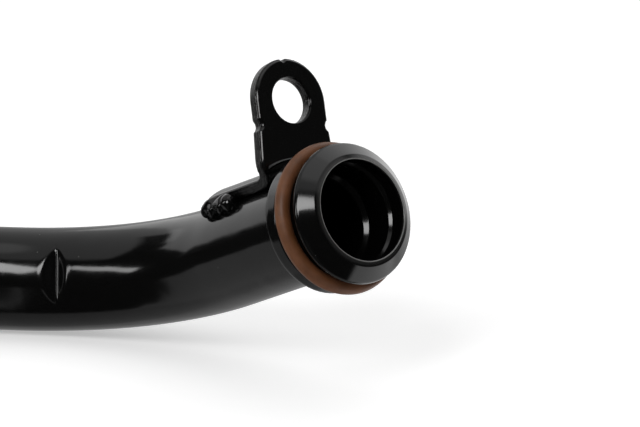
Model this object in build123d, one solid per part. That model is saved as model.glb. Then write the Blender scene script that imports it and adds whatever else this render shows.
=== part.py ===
from build123d import *
import os
from math import asin, cos, radians, sin, sqrt

# Coolant pipe: bent steel tube with a formed O-ring spigot and a welded bracket.
# Lengths in millimetres, angles in degrees.
# Frame: the level run of tube lies along X on the ground, Z is up, the spigot
# rises towards +X and -Y, and the hose end points towards +Y.

os.makedirs("parts", exist_ok=True)

# Tube stock
tube_od = 20.0
wall = 1.5
tube_r = tube_od / 2
bore_r = tube_r - wall

# Centre line, from the hose end to the spigot
hose_run = 76.0
rear_bend_radius = 2.0 * tube_od
rear_bend_angle = 90.0
level_run = 60.0
front_bend_radius = 61.5
front_bend_angle = 48.0
front_bend_tilt = 35.3
spigot_run = 39.8

# Hose end
bead_r = tube_r + 1.0
bead_width = 3.6
bead_setback = 6.0
end_chamfer = 0.5

# Spigot: cone nose, seal groove and stop flange, set back from the mouth
mouth_r = tube_r + 0.2
nose_bore_r = mouth_r - 0.6
land_r = 13.35
cone_length = 2.9
lip_band = 0.8
groove_front = 5.1
groove_width = 4.6
seal_section = 2.9
seal_squash = 0.08
seal_outer_r = 14.45
groove_r = seal_outer_r - seal_section + seal_squash
flange_rear = 12.7
bore_step = 10.4
mouth_chamfer = 0.25
edge_chamfer = 0.3
flange_round = 0.9

# Bracket: ear with one bolt hole, bent back into a saddle foot
sheet = 2.5
bracket_front = 17.0
bolt_hole_r = 4.3
bolt_height = 24.7
ear_r = 8.1
foot_end = 36.7
foot_half_angle = 37.5
inner_bend = 1.6
bracket_clock = 13.5
nick_r = 1.35
nick_depth = 0.5
nick_height = 19.95
crown_nick_r = 0.45
crown_nick_offset = 0.8
root_flare = 0.6
root_rise = 2.2
root_corner = 3.0
foot_corner = 1.2

# Weld beads along both edges of the foot
weld_length = 5.0
weld_inset = 0.8
weld_bar_r = 2.1
weld_r = tube_r + 0.7
weld_angle = foot_half_angle + 5.5

# Pressed notch in the side of the front bend
notch_depth = 1.6
notch_half_width = 2.2
notch_at_angle = 10.7
notch_clock = 12.7
notch_length = 16.0
notch_round = 0.5


def after_bend(start, radius, angle):
    """Plane at the far end of a bend whose centre lies along start's x direction."""
    turn = radians(angle)
    centre = start.origin + start.x_dir * radius
    x_dir = start.x_dir * cos(turn) - start.z_dir * sin(turn)
    z_dir = start.z_dir * cos(turn) + start.x_dir * sin(turn)
    return Plane(origin=centre - x_dir * radius, x_dir=x_dir, z_dir=z_dir)


def straight(start, length, radius):
    """Round bar along start's z direction."""
    return extrude(start * Circle(radius), amount=length)


def elbow(start, bend_radius, angle, radius):
    """Round bar turned towards start's x direction."""
    centre = start.origin + start.x_dir * bend_radius
    return revolve(start * Circle(radius), Axis(centre, start.y_dir), angle)


def ball(centre, radius):
    return Pos(centre.X, centre.Y, centre.Z) * Sphere(radius)


def near(sketch, x, y):
    """The vertex of a profile that lies nearest a point."""
    return sketch.vertices().sort_by_distance((x, y, 0))[0]


def spun(profile, plane, angle=360.0):
    """Revolves a profile drawn as radius and height about the plane's y axis."""
    return revolve(plane * profile, Axis(plane.origin, plane.y_dir), angle)


# How far neighbouring runs reach into each other before they are joined
lap = 1.0

# Where each run starts
tilt = radians(front_bend_tilt)
bend_in = Vector(0, -cos(tilt), sin(tilt))
level_start = Plane(origin=(0, 0, tube_r), x_dir=bend_in, z_dir=(1, 0, 0))
spigot_start = after_bend(level_start, front_bend_radius, front_bend_angle)
spigot_dir = spigot_start.z_dir
mouth = spigot_start.origin + spigot_dir * spigot_run

# The hose run climbs just enough to rest on its bead
bead_reach = rear_bend_radius + hose_run - bead_setback
climb = asin((bead_r - tube_r) / bead_reach)
rear_in = Vector(0, cos(climb), sin(climb))
rear_start = Plane(origin=(-level_run, 0, tube_r), x_dir=rear_in, z_dir=(-1, 0, 0))
hose_start = after_bend(rear_start, rear_bend_radius, rear_bend_angle)
hose_dir = hose_start.z_dir
hose_mouth = hose_start.origin + hose_dir * hose_run

# Half planes through each end's axis: x is the radius, y points out of the mouth
ear_dir = Vector(0, sin(tilt), cos(tilt)).rotate(Axis((0, 0, 0), spigot_dir), bracket_clock)
spigot_half = Plane(origin=mouth, x_dir=ear_dir, z_dir=ear_dir.cross(spigot_dir))
hose_side = hose_start.x_dir
hose_half = Plane(origin=hose_mouth, x_dir=hose_side, z_dir=hose_side.cross(hose_dir))


def tube(radius, hose_length, spigot_length):
    """The whole run of tube as one round bar."""
    level_back = Plane(origin=(0, 0, tube_r), x_dir=rear_in, z_dir=(-1, 0, 0))
    bar = straight(level_back, level_run, radius)
    bar += elbow(rear_start, rear_bend_radius, rear_bend_angle, radius)
    bar += straight(hose_start, hose_length, radius)
    bar += elbow(level_start, front_bend_radius, front_bend_angle, radius)
    bar += straight(spigot_start, spigot_length, radius)
    return bar


# Outside of the spigot
lip_rear = cone_length + lip_band
groove_rear = groove_front + groove_width
spigot_line = Polyline(
    (0, 0),
    (mouth_r, 0),
    (land_r, -cone_length),
    (land_r, -lip_rear),
    (groove_r, -groove_front),
    (groove_r, -groove_rear),
    (land_r, -groove_rear),
    (land_r, -flange_rear),
    (tube_r, -flange_rear),
    (tube_r, -flange_rear - 3 * lap),
    (0, -flange_rear - 3 * lap),
    close=True,
)
spigot_face = make_face(spigot_line)
spigot_face = chamfer(near(spigot_face, mouth_r, 0), mouth_chamfer)
spigot_face = chamfer(near(spigot_face, land_r, -lip_rear), edge_chamfer)
spigot_face = chamfer(near(spigot_face, land_r, -groove_rear), edge_chamfer)
spigot_face = fillet(near(spigot_face, land_r, -flange_rear), flange_round)

# Inside of the spigot
step_rear = bore_step + nose_bore_r - bore_r
cavity_line = Polyline(
    (0, lap),
    (nose_bore_r + lap + mouth_chamfer, lap),
    (nose_bore_r, -mouth_chamfer),
    (nose_bore_r, -bore_step),
    (bore_r, -step_rear),
    (bore_r, -step_rear - 3 * lap),
    (0, -step_rear - 3 * lap),
    close=True,
)
cavity_face = make_face(cavity_line)

# Outside of the hose end, with its rolled bead
bead_half = bead_width / 2
hose_end_length = bead_setback + bead_half + 3 * lap
hose_tip = Polyline(
    (0, -hose_end_length),
    (0, 0),
    (tube_r - end_chamfer, 0),
    (tube_r, -end_chamfer),
    (tube_r, -bead_setback + bead_half),
)
bead_arc = ThreePointArc(
    (tube_r, -bead_setback + bead_half),
    (bead_r, -bead_setback),
    (tube_r, -bead_setback - bead_half),
)
hose_root = Polyline(
    (tube_r, -bead_setback - bead_half),
    (tube_r, -hose_end_length),
    (0, -hose_end_length),
)
hose_face = make_face([hose_tip, bead_arc, hose_root])

# Pressed notch across the inside of the front bend, the wall following it
notch_station = after_bend(level_start, front_bend_radius, notch_at_angle)
notch_axis = Axis((0, 0, 0), notch_station.z_dir)
notch_face_dir = notch_station.x_dir.rotate(notch_axis, notch_clock)
notch_plane = Plane(
    origin=notch_station.origin,
    x_dir=notch_station.z_dir,
    z_dir=notch_station.z_dir.cross(notch_face_dir),
)


def notch_wedge(apex):
    """A long wedge across the tube with its rounded edge at a height above the axis."""
    rise = tube_r - bore_r + 2 * notch_depth
    spread = rise * notch_half_width / notch_depth
    triangle = make_face(Polyline((0, apex), (spread, apex + rise), (-spread, apex + rise), close=True))
    triangle = fillet(near(triangle, 0, apex), notch_round)
    return extrude(notch_plane * triangle, amount=notch_length / 2, both=True)


# Pipe
outside = tube(tube_r, hose_run - hose_end_length + lap, spigot_run - flange_rear - lap)
outside += spun(spigot_face, spigot_half)
outside += spun(hose_face, hose_half)
outside -= notch_wedge(tube_r - notch_depth)
bore = tube(bore_r, hose_run + lap, spigot_run - step_rear - lap)
bore += spun(cavity_face, spigot_half)
bore -= notch_wedge(bore_r - notch_depth)
pipe = outside - bore

# O-ring, pressed a little flat on the groove floor
seal_r = seal_outer_r - seal_section / 2
seal_height = -groove_front - groove_width / 2
seal_face = Pos(seal_r, seal_height) * Circle(seal_section / 2)
seal_face -= Pos(groove_r - lap, seal_height) * Rectangle(2 * lap, seal_section)
seal = spun(seal_face, spigot_half)

# Bracket: a bent section spun about the tube, trimmed to the blank's outline
bracket_rear = bracket_front + sheet
section_top = bolt_height + ear_r + lap
section_line = Polyline(
    (tube_r, -foot_end),
    (tube_r + sheet, -foot_end),
    (tube_r + sheet, -bracket_rear),
    (section_top, -bracket_rear),
    (section_top, -bracket_front),
    (tube_r, -bracket_front),
    close=True,
)
section_face = make_face(section_line)
section_face = fillet(near(section_face, tube_r, -bracket_front), inner_bend + sheet)
section_face = fillet(near(section_face, tube_r + sheet, -bracket_rear), inner_bend)

right_dir = ear_dir.cross(spigot_dir)
blank_plane = Plane(origin=mouth, x_dir=right_dir, z_dir=spigot_dir)
foot_sin = sin(radians(foot_half_angle))
foot_cos = cos(radians(foot_half_angle))
foot_low = tube_r - lap
foot_high = tube_r + sheet + lap
root_half_width = ear_r + root_flare
root_height = foot_high * foot_cos + root_rise
right_edge = Polyline(
    (foot_low * foot_sin, foot_low * foot_cos),
    (foot_high * foot_sin, foot_high * foot_cos),
    (root_half_width, root_height),
    (ear_r, bolt_height - ear_r / 2),
    (ear_r, bolt_height),
)
left_edge = Polyline(
    (-ear_r, bolt_height),
    (-ear_r, bolt_height - ear_r / 2),
    (-root_half_width, root_height),
    (-foot_high * foot_sin, foot_high * foot_cos),
    (-foot_low * foot_sin, foot_low * foot_cos),
)
crown = ThreePointArc((ear_r, bolt_height), (0, bolt_height + ear_r), (-ear_r, bolt_height))
heel = Line((-foot_low * foot_sin, foot_low * foot_cos), (foot_low * foot_sin, foot_low * foot_cos))
blank = make_face([right_edge, crown, left_edge, heel])
for side in (-1, 1):
    blank = fillet(near(blank, side * root_half_width, root_height), root_corner)
    blank = fillet(near(blank, side * foot_high * foot_sin, foot_high * foot_cos), foot_corner)
    blank -= Pos(side * (ear_r + nick_r - nick_depth), nick_height) * Circle(nick_r)
blank -= Pos(-crown_nick_offset, bolt_height + ear_r) * Circle(crown_nick_r)
blank -= Pos(0, bolt_height) * Circle(bolt_hole_r)
bracket = spun(section_face, spigot_half) & extrude(blank_plane * blank, amount=-foot_end - lap)


# Weld beads
def weld(side):
    """A round-ended bead that fills the corner along one edge of the foot."""
    angle = radians(weld_angle)
    outward = (ear_dir * cos(angle) + right_dir * sin(angle) * side) * weld_r
    tail = mouth + outward - spigot_dir * (foot_end - weld_inset)
    head = tail + spigot_dir * weld_length
    bar = straight(Plane(origin=tail, z_dir=spigot_dir), weld_length, weld_bar_r)
    bar += ball(tail, weld_bar_r) + ball(head, weld_bar_r)
    return bar - outside - bracket


weld_near = weld(-1)
weld_far = weld(1)

# Origin at the middle of the ground the part covers
pieces = {
    "pipe": pipe,
    "seal": seal,
    "bracket": bracket,
    "weld_near": weld_near,
    "weld_far": weld_far,
}
boxes = [piece.bounding_box() for piece in pieces.values()]
middle_x = (min(box.min.X for box in boxes) + max(box.max.X for box in boxes)) / 2
middle_y = (min(box.min.Y for box in boxes) + max(box.max.Y for box in boxes)) / 2
ground = min(box.min.Z for box in boxes)
shift = Pos(-middle_x, -middle_y, -ground)
for name, piece in pieces.items():
    placed = shift * piece
    placed.label = name
    export_step(placed, f"parts/{name}.step")
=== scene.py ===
import bpy
import numpy as np
from mathutils import Matrix, Vector


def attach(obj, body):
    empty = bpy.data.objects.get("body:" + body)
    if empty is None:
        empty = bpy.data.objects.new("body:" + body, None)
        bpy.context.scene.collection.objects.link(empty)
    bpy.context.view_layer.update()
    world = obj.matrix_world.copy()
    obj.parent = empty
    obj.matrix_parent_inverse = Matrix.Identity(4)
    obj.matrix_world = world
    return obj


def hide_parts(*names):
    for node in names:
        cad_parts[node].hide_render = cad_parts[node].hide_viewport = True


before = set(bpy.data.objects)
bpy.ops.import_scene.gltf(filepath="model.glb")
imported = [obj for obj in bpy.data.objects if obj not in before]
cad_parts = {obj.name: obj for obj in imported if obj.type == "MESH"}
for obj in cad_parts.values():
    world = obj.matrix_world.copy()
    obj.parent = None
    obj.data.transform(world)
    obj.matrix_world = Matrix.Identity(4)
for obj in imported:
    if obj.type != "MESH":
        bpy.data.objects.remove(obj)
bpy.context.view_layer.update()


# ---- Pipe ----
# Welded steel tube, 20 mm outside with a 1.5 mm wall, cold bent in two places. Its front end is
# formed into a cone nose, a seal groove and a stop flange, and its rear end has a rolled bead.
# One piece, coated all over in gloss black paint. Sizes are in millimetres.
tube_r = 10.0
bore_r = 8.5
mouth = np.array([87.6771, -73.9862, 38.8499])
spigot_run = 39.8
front_bend_radius = 61.5
front_bend = np.radians(48.0)
front_tilt = np.radians(35.3)
level_run = 60.0
rear_bend_radius = 40.0
hose_run = 76.0
bead_height = 1.0
bead_width = 3.6
bead_setback = 6.0
# The hose end climbs just enough for its bead and the level run to lie on the floor together
hose_climb = np.arcsin(bead_height / (rear_bend_radius + hose_run - bead_setback))
ear_clock = np.radians(13.5)
level_x = np.array([1.0, 0.0, 0.0])
front_in = np.array([0.0, -np.cos(front_tilt), np.sin(front_tilt)])
rear_in = np.array([0.0, np.cos(hose_climb), np.sin(hose_climb)])
spigot_dir = level_x * np.cos(front_bend) + front_in * np.sin(front_bend)
front_out = front_in * np.cos(front_bend) - level_x * np.sin(front_bend)

# Length, bend radius (none for a straight run) and direction of the bend's centre, from the mouth
runs = [
    (spigot_run, None, None),
    (front_bend_radius * front_bend, front_bend_radius, front_out),
    (level_run, None, None),
    (rear_bend_radius * np.pi / 2, rear_bend_radius, rear_in),
    (hose_run, None, None),
]
pipe_length = sum(run[0] for run in runs)
front_bend_end = runs[0][0] + runs[1][0]


def turned(vector, axis, angle):
    """Vector turned about a unit axis: v cos a + (axis x v) sin a + axis (axis . v)(1 - cos a)."""
    angle = np.asarray(angle)[..., None]
    along = axis * np.sum(vector * axis, -1, keepdims=True)
    across = np.cross(axis, vector)
    return vector * np.cos(angle) + across * np.sin(angle) + along * (1 - np.cos(angle))


ear_dir = turned(np.array([0.0, np.sin(front_tilt), np.cos(front_tilt)]), spigot_dir, ear_clock)
right_dir = np.cross(ear_dir, spigot_dir)


def centre_line(distance):
    """Point, onward, up and side directions at each distance from the mouth.
    A straight run adds distance times direction. A bend of radius R turned by angle a adds
    R (1 - cos a) towards its centre and R sin a onward, and turns the directions by a."""
    distance = np.asarray(distance, float)
    out = [np.zeros(distance.shape + (3,)) for _ in range(4)]
    point, frame_dirs, start = mouth, np.array([-spigot_dir, ear_dir, right_dir]), 0.0
    for index, (length, bend, centre_dir) in enumerate(runs):
        last = index == len(runs) - 1
        begun = distance >= start if index else np.full(distance.shape, True)
        here = begun & ((distance < start + length) | last)
        gone = np.append(distance[here] - start, length)
        if bend is None:
            places = point + gone[:, None] * frame_dirs[0]
            dirs = [np.broadcast_to(d, places.shape) for d in frame_dirs]
        else:
            angle = gone / bend
            hinge = np.cross(frame_dirs[0], centre_dir)
            swing = (1 - np.cos(angle))[:, None] * centre_dir
            swing = swing + np.sin(angle)[:, None] * frame_dirs[0]
            places = point + bend * swing
            dirs = [turned(d, hinge, angle) for d in frame_dirs]
        for store, values in zip(out, [places, *dirs]):
            store[here] = values[:-1]
        point, frame_dirs, start = places[-1], np.array([d[-1] for d in dirs]), start + length
    return out


def softened(corners, radii, steps=5):
    """Polyline with each corner replaced by a quadratic curve that starts and ends one radius
    away from it, with a supporting point 0.3 radius further out on each side."""
    corners = np.asarray(corners, float)
    line = [corners[:1]]
    for before, corner, after, radius in zip(corners, corners[1:], corners[2:], radii):
        back = (before - corner) / np.linalg.norm(before - corner)
        ahead = (after - corner) / np.linalg.norm(after - corner)
        t = np.linspace(0, 1, steps)[:, None]
        start, end = corner + back * radius, corner + ahead * radius
        curve = start * (1 - t) ** 2 + 2 * corner * t * (1 - t) + end * t ** 2
        line += [start + back * radius * 0.3, curve, end + ahead * radius * 0.3]
    return np.vstack([np.atleast_2d(part) for part in line + [corners[-1:]]])


# Outside of the spigot, as distance behind the mouth and radius
lip_r = 9.74
cone_length = 2.9
land_r = 13.35
land_back = 3.7
groove_front = 5.1
groove_back = 9.7
groove_r = 11.63
flange_front_r = 13.05
flange_back = 12.7
spigot_outside = softened(
    [(0.0, lip_r), (0.02, 9.84), (0.46, 10.7), (cone_length, land_r), (land_back, land_r),
     (groove_front, groove_r), (groove_back, groove_r), (groove_back, flange_front_r),
     (flange_back, land_r), (flange_back, tube_r), (14.5, tube_r)],
    [0.05, 0.12, 0.45, 0.28, 0.5, 0.35, 0.3, 0.9, 0.45],
    6,
)

# Outside of the tube: rows 1 to 2 mm apart, and closer where the notch is pressed in
notch_angle = np.radians(10.7)
notch_clock = np.radians(12.7)
notch_depth = 1.6
notch_slope = 0.727
notch_round = 0.42
notch_half = 4.6
notch_back = front_bend_end - front_bend_radius * notch_angle
bead_back = pipe_length - bead_setback
rear_bend_end = pipe_length - hose_run
tube_steps = np.concatenate([
    np.arange(15.6, 39.0, 1.6),
    np.arange(spigot_run, notch_back - 5.0, 1.0),
    np.arange(notch_back - notch_half, notch_back + notch_half, 0.23),
    np.arange(notch_back + 5.0, front_bend_end + level_run, 1.5),
    np.arange(front_bend_end + level_run + 0.4, rear_bend_end, 1.0),
    np.arange(rear_bend_end + 0.5, bead_back - 2.4, 2.0),
])
tube_outside = np.column_stack([tube_steps, np.full(len(tube_steps), tube_r)])

# The hose end: a rolled bead with a smooth swell, and a rounded rim that turns into the bore
bead_turn = np.linspace(-1, 1, 17)
bead_swell = np.cos(bead_turn * np.pi / 2) ** 1.3
bead_outside = np.column_stack([
    bead_back + bead_width / 2 * bead_turn,
    tube_r + bead_height * bead_swell,
])
rim = softened(
    [(pipe_length - 3.9, tube_r), (pipe_length, tube_r),
     (pipe_length, bore_r), (pipe_length - 3.0, bore_r)],
    [0.5, 0.35],
    5,
)
bore_steps = np.concatenate([
    np.arange(pipe_length - 4.0, rear_bend_end, -3.0),
    np.arange(rear_bend_end - 1.0, notch_back + 5.0, -2.2),
    np.arange(notch_back + notch_half, notch_back - notch_half, -0.4),
    np.arange(notch_back - 5.4, 15.0, -2.0),
])
tube_inside = np.column_stack([bore_steps, np.full(len(bore_steps), bore_r)])

# Inside of the spigot: the step at the back, the pocket behind the mouth, the lip
nose_bore_r = 9.6
pocket_r = 10.2
spigot_inside = softened(
    [(13.5, bore_r), (11.5, bore_r), (10.4, nose_bore_r), (4.9, nose_bore_r), (4.25, pocket_r),
     (1.7, pocket_r), (1.0, nose_bore_r), (0.12, nose_bore_r), (0.0, lip_r)],
    [0.3, 0.3, 0.12, 0.12, 0.2, 0.2, 0.06],
    5,
)[:-1]
outside_line = np.vstack([spigot_outside, tube_outside, bead_outside, rim[:len(rim) // 2]])
inside_line = np.vstack([rim[len(rim) // 2:], tube_inside, spigot_inside])
pipe_line = np.vstack([outside_line, inside_line])
on_outside = np.arange(len(pipe_line)) < len(outside_line)


def swept(line, turns):
    """Grid of points: centre line point at line's distance, plus line's radius times
    (cos turn up + sin turn side)."""
    place, _, up, side = centre_line(line[:, 0])
    turns = turns[None, :, None]
    spoke = np.cos(turns) * up[:, None] + np.sin(turns) * side[:, None]
    return place[:, None] + line[:, 1, None, None] * spoke


def pressed(points, apex):
    """Points above a round-bottomed V are moved down on to it, most of all at its middle. The V's
    height above the centre line is apex plus notch_slope times (root of the squares of the distance
    along the tube and notch_round, less 0.22). The fall to it is half of gap plus root of gap
    squared plus 0.05, so that its borders are a little rounded. Only points more than 3 mm up and
    within 6 mm of the notch move, and the last 0.6 mm below the V fade out."""
    place, onward, up, side = (v[0] for v in centre_line([notch_back]))
    hinge = np.cross(front_in, level_x)
    towards = turned(front_in, hinge, -notch_angle)
    axis = np.cross(hinge, towards)
    towards = turned(towards, axis * np.sign(axis @ -onward), notch_clock)
    offset = points - place
    height, along = offset @ towards, offset @ onward
    bottom = apex + notch_slope * (np.sqrt(along ** 2 + notch_round ** 2) - 0.22)
    gap = height - bottom
    drop = 0.5 * (gap + np.sqrt(gap ** 2 + 0.05))
    drop = np.where((height > 3) & (np.abs(along) < 6), drop, 0) * np.clip((gap + 0.6) / 0.3, 0, 1)
    return points - drop[..., None] * towards


pipe_around = 136
pipe_turns = np.arange(pipe_around) * 2 * np.pi / pipe_around
pipe_points = swept(pipe_line, pipe_turns)
near_notch = np.abs(pipe_line[:, 0] - notch_back) < 8.0
for wall_side, wall_r in ((on_outside, tube_r), (~on_outside, bore_r)):
    rows = near_notch & wall_side
    pipe_points[rows] = pressed(pipe_points[rows], wall_r - notch_depth)


def grid_faces(rows, columns, close_rows, close_columns):
    """Corner numbers of each square of a grid, wrapped round where it closes on itself."""
    i = np.arange(rows if close_rows else rows - 1)[:, None]
    j = np.arange(columns if close_columns else columns - 1)[None, :]
    i2, j2 = (i + 1) % rows, (j + 1) % columns
    corners = [i * columns + j, i * columns + j2, i2 * columns + j2, i2 * columns + j]
    return np.stack(corners, -1).reshape(-1, 4)


def make_piece(name, points, faces, values=()):
    """A smooth-shaded mesh object from points in millimetres, with named values at its points."""
    mesh = bpy.data.meshes.new(name)
    mesh.from_pydata((points.reshape(-1, 3) * 0.001).tolist(), [], faces)
    for label, numbers in values:
        layer = mesh.attributes.new(label, "FLOAT", "POINT")
        layer.data.foreach_set("value", np.asarray(numbers, np.float32).ravel())
    mesh.polygons.foreach_set("use_smooth", np.ones(len(mesh.polygons), bool))
    mesh.update()
    piece = bpy.data.objects.new(name, mesh)
    bpy.context.scene.collection.objects.link(piece)
    return piece


# How much of the painted highlight grey each row of the profile gets: all of it on the lip's edge, fading
# over 0.11 mm
lip_highlight_share = np.exp(-(((pipe_line - [0.03, 9.72]) / 0.11) ** 2).sum(1))
pipe_faces = grid_faces(len(pipe_line), pipe_around, True, True).tolist()
pipe = make_piece("pipe_skin", pipe_points, pipe_faces, [("lip", np.repeat(lip_highlight_share, pipe_around))])


def new_group(name, inputs, outputs):
    """Empty shader node group with number inputs, and outputs given as (name, socket type)."""
    group = bpy.data.node_groups.new(name, "ShaderNodeTree")
    for label, value in inputs:
        socket = group.interface.new_socket(label, in_out="INPUT", socket_type="NodeSocketFloat")
        socket.default_value = value
    for label, kind in outputs:
        group.interface.new_socket(label, in_out="OUTPUT", socket_type=kind)
    return group, group.nodes.new("NodeGroupInput"), group.nodes.new("NodeGroupOutput")


def add(tree, kind, inputs=(), **settings):
    """A node with its settings, and its inputs filled by value or linked from a socket."""
    node = tree.nodes.new(kind)
    for key, value in settings.items():
        setattr(node, key, value)
    for key, value in dict(inputs).items():
        socket = node.inputs[key]
        if isinstance(value, bpy.types.NodeSocket):
            tree.links.new(value, socket)
        else:
            socket.default_value = value
    return node


def add_math(tree, operation, a, b=0.0, clamp=False):
    """Result of one operation on a and b, kept within 0..1 if clamp is set."""
    return add(tree, "ShaderNodeMath", {0: a, 1: b}, operation=operation, use_clamp=clamp).outputs[0]


def add_range(tree, value, low, high, to_low=0.0, to_high=1.0):
    """Value from low..high carried smoothly to to_low..to_high."""
    inputs = {"Value": value, "From Min": low, "From Max": high, "To Min": to_low, "To Max": to_high}
    return add(tree, "ShaderNodeMapRange", inputs, interpolation_type="SMOOTHSTEP").outputs["Result"]


def add_noise(tree, place, scale, detail, roughness):
    """Grey noise whose largest clouds are about 1 / scale metres across."""
    inputs = {"Vector": place, "Scale": scale, "Detail": detail, "Roughness": roughness}
    return add(tree, "ShaderNodeTexNoise", inputs).outputs["Fac"]


def add_mix(tree, factor, first, second):
    """First colour where factor is 0, second colour where it is 1."""
    inputs = {"Factor": factor, 6: first, 7: second}
    return add(tree, "ShaderNodeMix", inputs, data_type="RGBA").outputs[2]


def add_bump(tree, height, distance, **inputs):
    """Normal of a surface raised by height times distance, in metres."""
    inputs.update({"Height": height, "Strength": 1.0, "Distance": distance})
    return add(tree, "ShaderNodeBump", inputs).outputs["Normal"]


# Dust: pale grains, at most one to a cell and only in a share of the cells, and a thin cloudy film
dust_group, dust_in, dust_out = new_group(
    "settled dust",
    [("Cell", 0.0016), ("Share", 0.2), ("Grain", 0.12)],
    [("Grains", "NodeSocketFloat"), ("Film", "NodeSocketFloat")],
)
place = add(dust_group, "ShaderNodeTexCoord").outputs["Object"]
per_cell = add_math(dust_group, "DIVIDE", 1.0, dust_in.outputs["Cell"])
cells = add(dust_group, "ShaderNodeTexVoronoi", {"Vector": place, "Scale": per_cell, "Randomness": 1.0})
pick = add(dust_group, "ShaderNodeSeparateColor", {0: cells.outputs["Color"]})
size = add_math(dust_group, "MULTIPLY", pick.outputs[1], dust_in.outputs["Grain"])
grain = add_math(dust_group, "LESS_THAN", cells.outputs["Distance"], size)
chosen = add_math(dust_group, "LESS_THAN", pick.outputs[0], dust_in.outputs["Share"])
dust_group.links.new(add_math(dust_group, "MULTIPLY", grain, chosen), dust_out.inputs["Grains"])
cloud = add_noise(dust_group, place, 90.0, 5.0, 0.62)
dust_group.links.new(add_range(dust_group, cloud, 0.42, 0.75), dust_out.inputs["Film"])

# Orange peel: the shallow dimples of thick gloss paint over a slow unevenness, as a height
peel_group, peel_in, peel_out = new_group(
    "orange peel",
    [("Slow", 1.0)],
    [("Height", "NodeSocketFloat")],
)
place = add(peel_group, "ShaderNodeTexCoord").outputs["Object"]
dimples = add_noise(peel_group, place, 480.0, 2.0, 0.5)
slow = add_math(peel_group, "MULTIPLY", add_noise(peel_group, place, 120.0, 1.0, 0.4), 5.0)
slow = add_math(peel_group, "MULTIPLY", slow, peel_in.outputs["Slow"])
peel_group.links.new(add_math(peel_group, "ADD", dimples, slow), peel_out.inputs["Height"])


def place_group(tree, group, inputs):
    """A node group set down in a material, with its own values."""
    return add(tree, "ShaderNodeGroup", inputs, node_tree=group)


def new_material(name, **constants):
    """Material with one Principled BSDF whose constant values sit on its own sockets."""
    material = bpy.data.materials.new(name)
    material.use_nodes = True
    shader = material.node_tree.nodes["Principled BSDF"]
    for key, value in constants.items():
        shader.inputs[key.replace("_", " ")].default_value = value
    return material, material.node_tree, shader


black = (0.0019, 0.0019, 0.0019, 1)
paint_dust = (0.13, 0.13, 0.125, 1)
# Light grey of the painted highlight on the mouth's lip
lip_highlight_grey = (0.22, 0.22, 0.215, 1)


def gloss_black(name, peel_depth=9e-6, roughness=0.11, dust_share=0.16):
    """Gloss black paint: near-black colour, dust grains, a thin film of dust that dulls it in
    clouds, and orange peel as bump. Returns the material, its tree and shader for additions."""
    material, tree, shader = new_material(name, IOR=1.45)
    dust = place_group(tree, dust_group, {"Cell": 0.0021, "Share": dust_share, "Grain": 0.05})
    grains, film = dust.outputs["Grains"], dust.outputs["Film"]
    dull = add_math(tree, "ADD", add_math(tree, "MULTIPLY", film, 0.07), roughness)
    dull = add_math(tree, "ADD", dull, add_math(tree, "MULTIPLY", grains, 0.4), clamp=True)
    peel = place_group(tree, peel_group, {"Slow": 2.4})
    bump = add_bump(tree, peel.outputs["Height"], peel_depth)
    tree.links.new(add_mix(tree, grains, black, paint_dust), shader.inputs["Base Color"])
    tree.links.new(dull, shader.inputs["Roughness"])
    tree.links.new(bump, shader.inputs["Normal"])
    return material, tree, shader


# Painted highlight: light grey mixed into the paint colour on the sharp lip of the mouth, standing in for
# the bright line along its edge
pipe_paint, pipe_tree, pipe_shader = gloss_black("pipe paint")
lip_highlight_mask = add(pipe_tree, "ShaderNodeAttribute", attribute_name="lip").outputs["Fac"]
lip_highlight_mask = add_math(pipe_tree, "MULTIPLY", lip_highlight_mask, 1.4, clamp=True)
paint_colour = pipe_shader.inputs["Base Color"].links[0].from_socket
lip_highlight_colour = add_mix(pipe_tree, lip_highlight_mask, paint_colour, lip_highlight_grey)
pipe_tree.links.new(lip_highlight_colour, pipe_shader.inputs["Base Color"])
pipe.data.materials.append(pipe_paint)
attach(pipe, "root")
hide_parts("pipe")


# ---- O-ring ----
# Moulded brown rubber ring of 2.9 mm section, stretched into the groove behind the nose.
# It is pressed a little flat on the groove floor and shows its mould line round the outside.
seal_r = 13.0
seal_back = 7.4
seal_section = 1.45
mould_line_height = 0.035
seal_around = 220
section_steps = 48

# The section is flat on the groove's floor, a hair above it, and carries the mould line outside
seal_angles = np.arange(section_steps) * 2 * np.pi / section_steps
section_r = seal_r + seal_section * np.cos(seal_angles)
flattened = np.maximum(section_r, groove_r) + 0.012 * np.exp(-np.abs(section_r - groove_r) / 0.05)
mould_line = mould_line_height * np.exp(-(np.sin(seal_angles) / 0.035) ** 2) * (np.cos(seal_angles) > 0)
seal_line = np.column_stack([seal_back + seal_section * np.sin(seal_angles), flattened + mould_line])
seal_points = swept(seal_line, np.arange(seal_around) * 2 * np.pi / seal_around)
seal_faces = grid_faces(section_steps, seal_around, True, True).tolist()
seal = make_piece("seal_ring", seal_points, seal_faces)

dark_brown = (0.105, 0.038, 0.013, 1)
light_brown = (0.160, 0.060, 0.023, 1)
seal_dust = (0.34, 0.22, 0.16, 1)
rubber, rubber_tree, rubber_shader = new_material("brown rubber", IOR=1.42)
dust = place_group(rubber_tree, dust_group, {"Cell": 0.0011, "Share": 0.12, "Grain": 0.09})
place = add(rubber_tree, "ShaderNodeTexCoord").outputs["Object"]
tone = add_noise(rubber_tree, place, 260.0, 4.0, 0.6)
fine = add_noise(rubber_tree, place, 2600.0, 3.0, 0.6)
brown = add_mix(rubber_tree, add_range(rubber_tree, tone, 0.3, 0.7), dark_brown, light_brown)
brown = add_mix(rubber_tree, dust.outputs["Grains"], brown, seal_dust)
rubber_dull = add_range(rubber_tree, tone, 0.25, 0.75, 0.42, 0.56)
rubber_tree.links.new(brown, rubber_shader.inputs["Base Color"])
rubber_tree.links.new(rubber_dull, rubber_shader.inputs["Roughness"])
rubber_tree.links.new(add_bump(rubber_tree, fine, 9e-6), rubber_shader.inputs["Normal"])
seal.data.materials.append(rubber)
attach(seal, "root")
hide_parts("seal")


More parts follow.
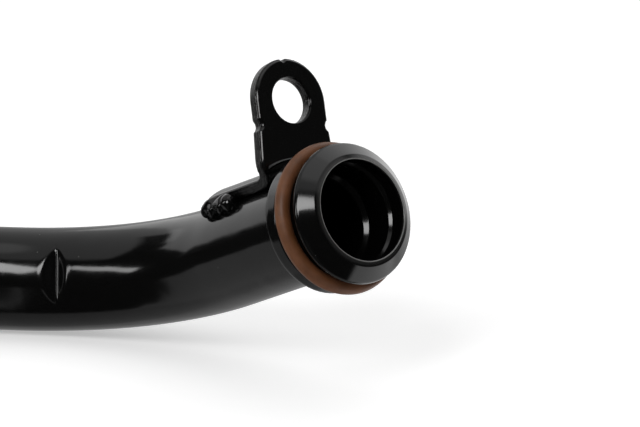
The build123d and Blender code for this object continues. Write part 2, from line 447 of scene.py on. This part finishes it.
# ---- Bracket ----
# Blanked 2.5 mm steel sheet: a round ear with one bolt hole, bent back into a saddle foot that
# sits on the tube. The blanked edges keep the smooth and the torn band of the shears.
sheet = 2.5
ear_front = 17.0
fold_r = 14.1
fold_outer = 4.1
fold_length = np.pi / 2 * (fold_outer - sheet / 2)
foot_end = 36.7
foot_length = foot_end - ear_front - fold_outer
bolt_height = 24.7
ear_r = 8.1
hole_r = 4.3
nick_r = 1.35
nick_height = 19.95
nick_centre = 8.95
crown_nick_depth = 0.45
crown_nick_half = 0.42
fold_start = 11.35
fold_half_width = 8.37
foot_half_angle = np.radians(37.5)
foot_r = 12.0
# The ear's sides from the fold to the bolt hole's height, as height above the tube's axis and
# half width, and the height below which the mesh changes from spokes to rows
side_heights = [fold_start, 12.2, 12.91, 13.7, 20.65, bolt_height]
side_widths = [fold_half_width, 8.56, 8.655, 8.64, ear_r, ear_r]
collar_low = 18.4

# How finely the blank is meshed: across, round the crown, up the sides, out from the hole, and
# down the ear, the fold and the foot
strip_columns = np.linspace(-1, 1, 33)
crown_turns = np.linspace(0, np.pi, 81)
collar_sides = np.linspace(0, 1, 37)
collar_rings = np.linspace(0, 1, 9) ** 0.9
strip_heights = np.linspace(collar_low, fold_start, 15)[1:]
fold_rows = np.linspace(0, -fold_length, 13)[1:]
foot_rows = np.linspace(-fold_length, -fold_length - foot_length, 13)[1:]


def half_width(height):
    """Half the blank's width at a height above the tube's axis, with the round nick in its side."""
    width = np.interp(height, side_heights, side_widths)
    reach = np.clip(nick_r ** 2 - (height - nick_height) ** 2, 0, None)
    return np.where(reach > 0, np.minimum(width, nick_centre - np.sqrt(reach)), width)


def blank(inset):
    """Points of the blank as (distance along the section from the fold, angle about the tube),
    with the outline moved inwards by inset and the hole's edge outwards by 0.4 of it. Round the
    hole the grid runs from the hole to the outline in straight spokes. Below it each row runs from
    side to side, and sags more and more until the last one follows the round of the fold."""
    heights = collar_low + (bolt_height - collar_low) * collar_sides[:-1]
    right = np.column_stack([half_width(heights) - inset, heights])
    from_nick = (crown_turns - np.pi / 2 - 0.10) * ear_r
    crown_r = ear_r - inset - crown_nick_depth * np.exp(-(from_nick / crown_nick_half) ** 2)
    crown = np.column_stack([crown_r * np.cos(crown_turns), bolt_height + crown_r * np.sin(crown_turns)])
    left = right[::-1] * [-1, 1]
    base_width = half_width(np.array(collar_low)) - inset
    base = np.column_stack([strip_columns * base_width, np.full(len(strip_columns), collar_low)])
    border = np.vstack([right, crown, left[:-1], base[:-1]])
    bearing = border - [0, bolt_height]
    bearing = bearing / np.linalg.norm(bearing, axis=1, keepdims=True)
    hole = (hole_r + 0.4 * inset) * bearing + [0, bolt_height]
    collar = hole + collar_rings[:, None, None] * (border - hole)
    ring_points = collar.reshape(-1, 2)
    share = np.clip((collar_low - strip_heights) / (collar_low - fold_start), 0, 1)[:, None]
    widths = (half_width(strip_heights) - inset)[:, None]
    across = strip_columns[None, :] * widths
    sag = np.sqrt(fold_r ** 2 - across ** 2) - np.sqrt(fold_r ** 2 - widths ** 2)
    strip = np.stack([across, strip_heights[:, None] + share ** 2 * sag], -1).reshape(-1, 2)
    flat_points = np.vstack([ring_points, strip])
    flat_points = np.column_stack([np.hypot(*flat_points.T) - fold_r, np.arctan2(*flat_points.T)])
    lower = np.concatenate([fold_rows, foot_rows])
    lower[-1] += inset
    start_angle = np.arctan2(fold_half_width, fold_start)
    opening = np.clip(-lower / fold_length, 0, 1)
    half = start_angle + (foot_half_angle - start_angle) * opening - inset / foot_r
    angles = half[:, None] * strip_columns[None, :]
    lower_points = np.column_stack([np.repeat(lower, len(strip_columns)), angles.ravel()])
    return np.vstack([flat_points, lower_points])


def folded(points, depth):
    """Blank points carried to the bent bracket at a depth below its front face: the ear stands
    across the tube, the fold turns a quarter about its centre, the foot runs along the tube."""
    along, angle = points.T
    fold = np.clip(-along, 0, fold_length) / fold_length * np.pi / 2
    rest = np.clip(-along - fold_length, 0, None)
    radius = fold_r + np.clip(along, 0, None) - (fold_outer - depth) * np.sin(fold)
    back = ear_front + fold_outer + rest - (fold_outer - depth) * np.cos(fold)
    spoke = np.cos(angle)[:, None] * ear_dir + np.sin(angle)[:, None] * right_dir
    return mouth - back[:, None] * spigot_dir + radius[:, None] * spoke


# Corner numbers of the blank's faces: the spokes round the hole, then the rows down to the foot's
# end, whose first row is the lower border of the spokes
columns = len(strip_columns)
side_count = len(collar_sides) - 1
spokes = side_count + len(crown_turns) + side_count - 1 + columns - 1
rings = len(collar_rings)
border_start = (rings - 1) * spokes
base_first = border_start + side_count + len(crown_turns) + side_count - 1
base_row = np.append(np.arange(base_first, border_start + spokes), border_start)
strip_start = rings * spokes
strip_rows = len(strip_heights) + len(fold_rows) + len(foot_rows)
strip_index = strip_start + np.arange(strip_rows * columns).reshape(strip_rows, columns)
strip_index = np.vstack([base_row, strip_index])
strip_corners = [strip_index[1:, :-1], strip_index[1:, 1:], strip_index[:-1, 1:], strip_index[:-1, :-1]]
strip_faces = np.stack(strip_corners, -1).reshape(-1, 4)
sheet_faces = np.vstack([grid_faces(rings, spokes, False, True)[:, ::-1], strip_faces])
hole_loop = np.arange(spokes)
outline_loop = np.concatenate([
    border_start + np.arange(base_first - border_start),
    strip_index[:, 0],
    strip_index[-1, 1:],
    strip_index[1:-1, -1][::-1],
])

# Blanked edge, as depth below the front face and how far it lies inside the outline: the roll-over,
# the smooth sheared band, the torn band, and the worn burr at the back
edge_profile = [
    (0.04, 0.50), (0.12, 0.38), (0.28, 0.21), (0.44, 0.07), (0.58, 0.015),
    (0.75, 0.0), (1.1, 0.0),
    (1.25, 0.02), (1.6, 0.05), (2.0, 0.08), (2.3, 0.11),
    (2.42, 0.17), (2.48, 0.27),
]
edge_depths, edge_insets = np.array(edge_profile).T
edge_steps = len(edge_profile)
front_points = folded(blank(0.64), 0.0)
back_points = folded(blank(0.40), sheet)
total = len(front_points)
bracket_parts = [front_points, back_points]
depth_values = [np.zeros(total), np.ones(total)]
cut_values = [np.zeros(2 * total)]
along_values = [np.zeros(2 * total)]
bracket_faces = [sheet_faces, sheet_faces[:, ::-1] + total]
offset = 2 * total
for loop, flip in ((hole_loop, True), (outline_loop, False)):
    count = edge_steps * len(loop)
    walls = np.array([folded(blank(inset)[loop], depth) for depth, inset in edge_profile])
    bracket_parts.append(walls.reshape(-1, 3))
    lengths = np.linalg.norm(np.diff(walls[0], axis=0, prepend=walls[0][-1:]), axis=1)
    along_values.append(np.tile(np.cumsum(lengths), edge_steps))
    depth_values.append(np.repeat(edge_depths / sheet, len(loop)))
    cut_values.append(np.repeat((edge_insets < 0.15).astype(float), len(loop)))
    inner = offset + np.arange(count).reshape(edge_steps, len(loop))
    levels = np.vstack([loop, inner, loop + total])
    levels = np.column_stack([levels, levels[:, :1]])
    corners = [levels[:-1, :-1], levels[1:, :-1], levels[1:, 1:], levels[:-1, 1:]]
    wall = np.stack(corners, -1).reshape(-1, 4)
    bracket_faces.append(wall[:, ::-1] if flip else wall)
    offset += count
bracket = make_piece(
    "bracket_plate",
    np.vstack(bracket_parts),
    np.vstack(bracket_faces).tolist(),
    [("depth", np.concatenate(depth_values)), ("cut", np.concatenate(cut_values)),
     ("along", np.concatenate(along_values))],
)

# The cut edges carry the streaks of the shears, short along the edge and long through the sheet
bracket_paint, bracket_tree, bracket_shader = gloss_black("bracket paint", 8e-6, 0.13, 0.2)
edge_depth, edge_cut, edge_along = (
    add(bracket_tree, "ShaderNodeAttribute", attribute_name=label).outputs["Fac"]
    for label in ("depth", "cut", "along")
)
streak_place = add(bracket_tree, "ShaderNodeCombineXYZ", {
    "X": add_math(bracket_tree, "MULTIPLY", edge_along, 0.16),
    "Y": add_math(bracket_tree, "MULTIPLY", edge_depth, 2.6),
}).outputs[0]
streaks = add_noise(bracket_tree, streak_place, 2.4, 3.0, 0.5)
shear_height = add_math(bracket_tree, "MULTIPLY", streaks, edge_cut)
paint_normal = bracket_shader.inputs["Normal"].links[0].from_socket
shear_bump = add_bump(bracket_tree, shear_height, 0.00022, Normal=paint_normal)
bracket_tree.links.new(shear_bump, bracket_shader.inputs["Normal"])
bracket.data.materials.append(bracket_paint)
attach(bracket, "root")
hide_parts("bracket")


# ---- Weld beads ----
# Two short arc welds of steel along the rear part of the foot's edges, left as run and painted
# over with the rest. Each is a row of overlapping frozen puddles.
weld_length = 5.0
weld_reach = 2.1
puddle_pitch = 2.7
seam_angle = np.radians(43.0)
seam_r = 10.7
seam_back = foot_end - 0.8
weld_around = 64
weld_turns = np.arange(weld_around) * 2 * np.pi / weld_around
cap_turns = np.linspace(0, np.pi / 2, 16)
weld_steps = np.concatenate([
    -weld_reach * np.cos(cap_turns)[:-1],
    np.linspace(0, weld_length, 60),
    weld_length + weld_reach * np.sin(cap_turns)[1:],
])


def weld_bead(name, side, seed):
    """A closed bead. Its radius is a bar with round ends, times a puddle profile along the seam,
    root of |sin| bowed a little at the crest, plus a few slow waves that run along and round it at
    random. The outer half is flattened to 0.92."""
    rng = np.random.default_rng(seed)
    s, turn = weld_steps[:, None], weld_turns[None, :]
    past_end = np.clip(np.maximum(-s, s - weld_length), 0, None)
    bar = np.sqrt(np.clip(weld_reach ** 2 - past_end ** 2, 0, None))
    crest = np.cos(turn)
    phase = (s + 0.55 * crest ** 2 + 0.2 * np.sin(turn)) / puddle_pitch
    puddle = np.sqrt(np.abs(np.sin(np.pi * phase)))
    lumps = 0.0
    for rounds in (0, 1, 1, 2, 3):
        waves = rng.uniform(0.7, 2.6) * s + rounds * turn + rng.uniform(0, 6.3)
        lumps = lumps + 0.045 * np.sin(waves)
    radius = bar * (0.84 + 0.16 * puddle + lumps)
    rise = radius * np.where(crest > 0, 0.92, 1.0) * crest
    spread = radius * np.sin(turn)
    outward = np.cos(side * seam_angle) * ear_dir + np.sin(side * seam_angle) * right_dir
    sideways = np.cross(spigot_dir, outward)
    tail = mouth - seam_back * spigot_dir + seam_r * outward
    points = tail + s[..., None] * spigot_dir + rise[..., None] * outward + spread[..., None] * sideways
    body = points[1:-1].reshape(-1, 3)
    tips = points[[0, -1]].mean(1)
    ring = np.arange(weld_around)
    after = (ring + 1) % weld_around
    rear_ring = len(body) - weld_around
    front_cap = np.column_stack([np.full(weld_around, len(body)), after, ring])
    rear_cap = np.column_stack([np.full(weld_around, len(body) + 1), rear_ring + ring, rear_ring + after])
    faces = grid_faces(len(weld_steps) - 2, weld_around, False, True).tolist()
    faces += front_cap.tolist() + rear_cap.tolist()
    return make_piece(name, np.vstack([body, tips]), faces)


weld_paint, *_ = gloss_black("weld paint", 4e-6, 0.08, 0.1)
for name, node, side, seed in (("weld_bead_near", "weld_near", -1, 3), ("weld_bead_far", "weld_far", 1, 8)):
    weld = weld_bead(name, side, seed)
    weld.data.materials.append(weld_paint)
    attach(weld, "root")
    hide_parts(node)


# ---- Floor ----
# Plain matt white studio floor on which the part lies. It is hidden from reflections, where the
# lower half of the world takes its place, because the paint reflects mid grey from below.
floor_half = 12.0
floor_corners = [(x * floor_half, y * floor_half, 0) for x, y in ((-1, -1), (1, -1), (1, 1), (-1, 1))]
floor_mesh = bpy.data.meshes.new("floor")
floor_mesh.from_pydata(floor_corners, [], [(0, 1, 2, 3)])
floor = bpy.data.objects.new("floor", floor_mesh)
bpy.context.scene.collection.objects.link(floor)
floor_paint, floor_tree, floor_shader = new_material(
    "floor white",
    Base_Color=(0.93, 0.93, 0.93, 1),
    Roughness=0.9,
    Specular_IOR_Level=0.0,
    Emission_Color=(1, 1, 1, 1),
)
rays = add(floor_tree, "ShaderNodeLightPath").outputs
seen = add_math(floor_tree, "ADD", rays["Is Camera Ray"], rays["Is Glossy Ray"])
seen = add_math(floor_tree, "ADD", seen, rays["Is Transmission Ray"], clamp=True)
glow = add_math(floor_tree, "MULTIPLY", seen, 0.42)
floor_tree.links.new(glow, floor_shader.inputs["Emission Strength"])
floor_mesh.materials.append(floor_paint)
floor.visible_glossy = False


# ---- Light ----
# A pale studio behind and above the part and a dark room on the camera's side, with a main
# softbox above and left of the camera and a narrow tilted strip further to its left.
world = bpy.data.worlds.new("studio")
bpy.context.scene.world = world
world.use_nodes = True
sky = world.node_tree
sky.nodes.clear()
direction = add(sky, "ShaderNodeTexCoord").outputs["Generated"]
parts = add(sky, "ShaderNodeSeparateXYZ", {0: direction})
flipped = [add_math(sky, "MULTIPLY", parts.outputs[axis], -1.0) for axis in "XY"]
azimuth = add_math(sky, "MULTIPLY", add_math(sky, "ARCTAN2", *flipped), 180 / np.pi)
elevation = add_math(sky, "MULTIPLY", add_math(sky, "ARCSINE", parts.outputs["Z"]), 180 / np.pi)

# The dark half of the studio gives way to the pale half across a plane with this upright
pale_way = (0.043, 0.857, 0.514)
facing = add(sky, "ShaderNodeVectorMath", {0: direction, 1: pale_way}, operation="DOT_PRODUCT")
level = add_range(sky, facing.outputs["Value"], -0.04, 0.10, 0.03, 0.62)

# Each surface of the studio: its lowest and highest azimuth (0 towards the camera's side, growing
# to the left), its lowest and highest elevation, the softness of its border, and its brightness
studio_surfaces = [
    (-185, 185, 74, 100, 4, 1.15),
    (-185, -138, -12, 74, 5, 1.35),
    (160, 181, -12, 22, 4, 0.50),
    (-135, -40, -28, 52, 5, 0.06),
    (52, 127, 2, 35, 2, 0.03),
    (98.5, 112, 3, 21.5, 0.8, 1.15),
    (108, 165, 3, 24, 0.8, 1.15),
    (98.5, 111, 15, 21.5, 0.8, 1.25),
    (111, 134, 19, 24, 0.8, 1.55),
    (71, 185, -95, -19, 1.5, 0.42),
    (52, 108, -19, 1.5, 1.0, 0.03),
    (162, 181, -60, -12, 4, 0.42),
    (-185, -60, -95, -30, 4, 1.3),
    (11.5, 15.7, -62, -2, 0.5, 0.50),
    (-185, 185, -95, -63, 3, 0.30),
]
for az_low, az_high, el_low, el_high, soft, brightness in studio_surfaces:
    inside = add_range(sky, azimuth, az_low - soft, az_low + soft)
    for border in (
        add_range(sky, azimuth, az_high - soft, az_high + soft, 1.0, 0.0),
        add_range(sky, elevation, el_low - soft, el_low + soft),
        add_range(sky, elevation, el_high - soft, el_high + soft, 1.0, 0.0),
    ):
        inside = add_math(sky, "MULTIPLY", inside, border)
    mixed = {"Factor": inside, 2: level, 3: brightness}
    level = add(sky, "ShaderNodeMix", mixed, data_type="FLOAT").outputs[0]
background = add(sky, "ShaderNodeBackground", {"Color": level, "Strength": 1.0})
add(sky, "ShaderNodeOutputWorld", {"Surface": background.outputs[0]})

# The softboxes hang this far, in metres, from the point beside the front bend that they face
softbox_distance = 1.2
softbox_aim = np.array([0.04, -0.05, 0.02])


def softbox(name, azimuth, elevation, tilt, width, height, brightness):
    """A flat softbox in the direction given by azimuth and elevation, facing the aimed point,
    turned by tilt about its own middle. Its power is pi x area x brightness."""
    azimuth, elevation, tilt = np.radians([azimuth, elevation, tilt])
    level_way = np.array([-np.sin(azimuth), -np.cos(azimuth), 0.0])
    towards = level_way * np.cos(elevation) + [0, 0, np.sin(elevation)]
    level_side = np.array([-np.cos(azimuth), np.sin(azimuth), 0.0])
    long_side = turned(level_side, towards, tilt)
    data = bpy.data.lights.new(name, "AREA")
    data.shape = "RECTANGLE"
    data.size, data.size_y = width, height
    data.energy = np.pi * width * height * brightness
    lamp = bpy.data.objects.new(name, data)
    lamp.location = Vector(towards * softbox_distance + softbox_aim)
    lamp.rotation_mode = "QUATERNION"
    axes = np.array([long_side, np.cross(towards, long_side), towards]).T
    lamp.rotation_quaternion = Matrix(axes).to_quaternion()
    bpy.context.scene.collection.objects.link(lamp)


softbox("main_softbox", 15.5, 40.3, 45.0, 0.50, 0.34, 9.5)
softbox("strip_softbox", 57.5, 20.5, 55.0, 0.70, 0.15, 6.5)


# ---- Camera ----
# Long lens, 1.1 m from the pipe's mouth and 17 degrees above the floor, placed where the mouth's
# ellipse, the ear's outline and the tube's edges lie as in the photograph.
camera_data = bpy.data.cameras.new("camera")
camera_data.lens = 337.5
camera_data.sensor_width = 36.0
camera_data.clip_start = 0.05
camera_data.clip_end = 60.0
camera = bpy.data.objects.new("camera", camera_data)
camera.location = (0.198737, -1.125189, 0.362908)
camera.rotation_mode = "QUATERNION"
camera.rotation_quaternion = Vector((-0.1075433, 0.9498267, -0.2937067)).to_track_quat("-Z", "Y")
bpy.context.scene.collection.objects.link(camera)
bpy.context.scene.camera = camera
bpy.context.scene.view_settings.view_transform = "Standard"
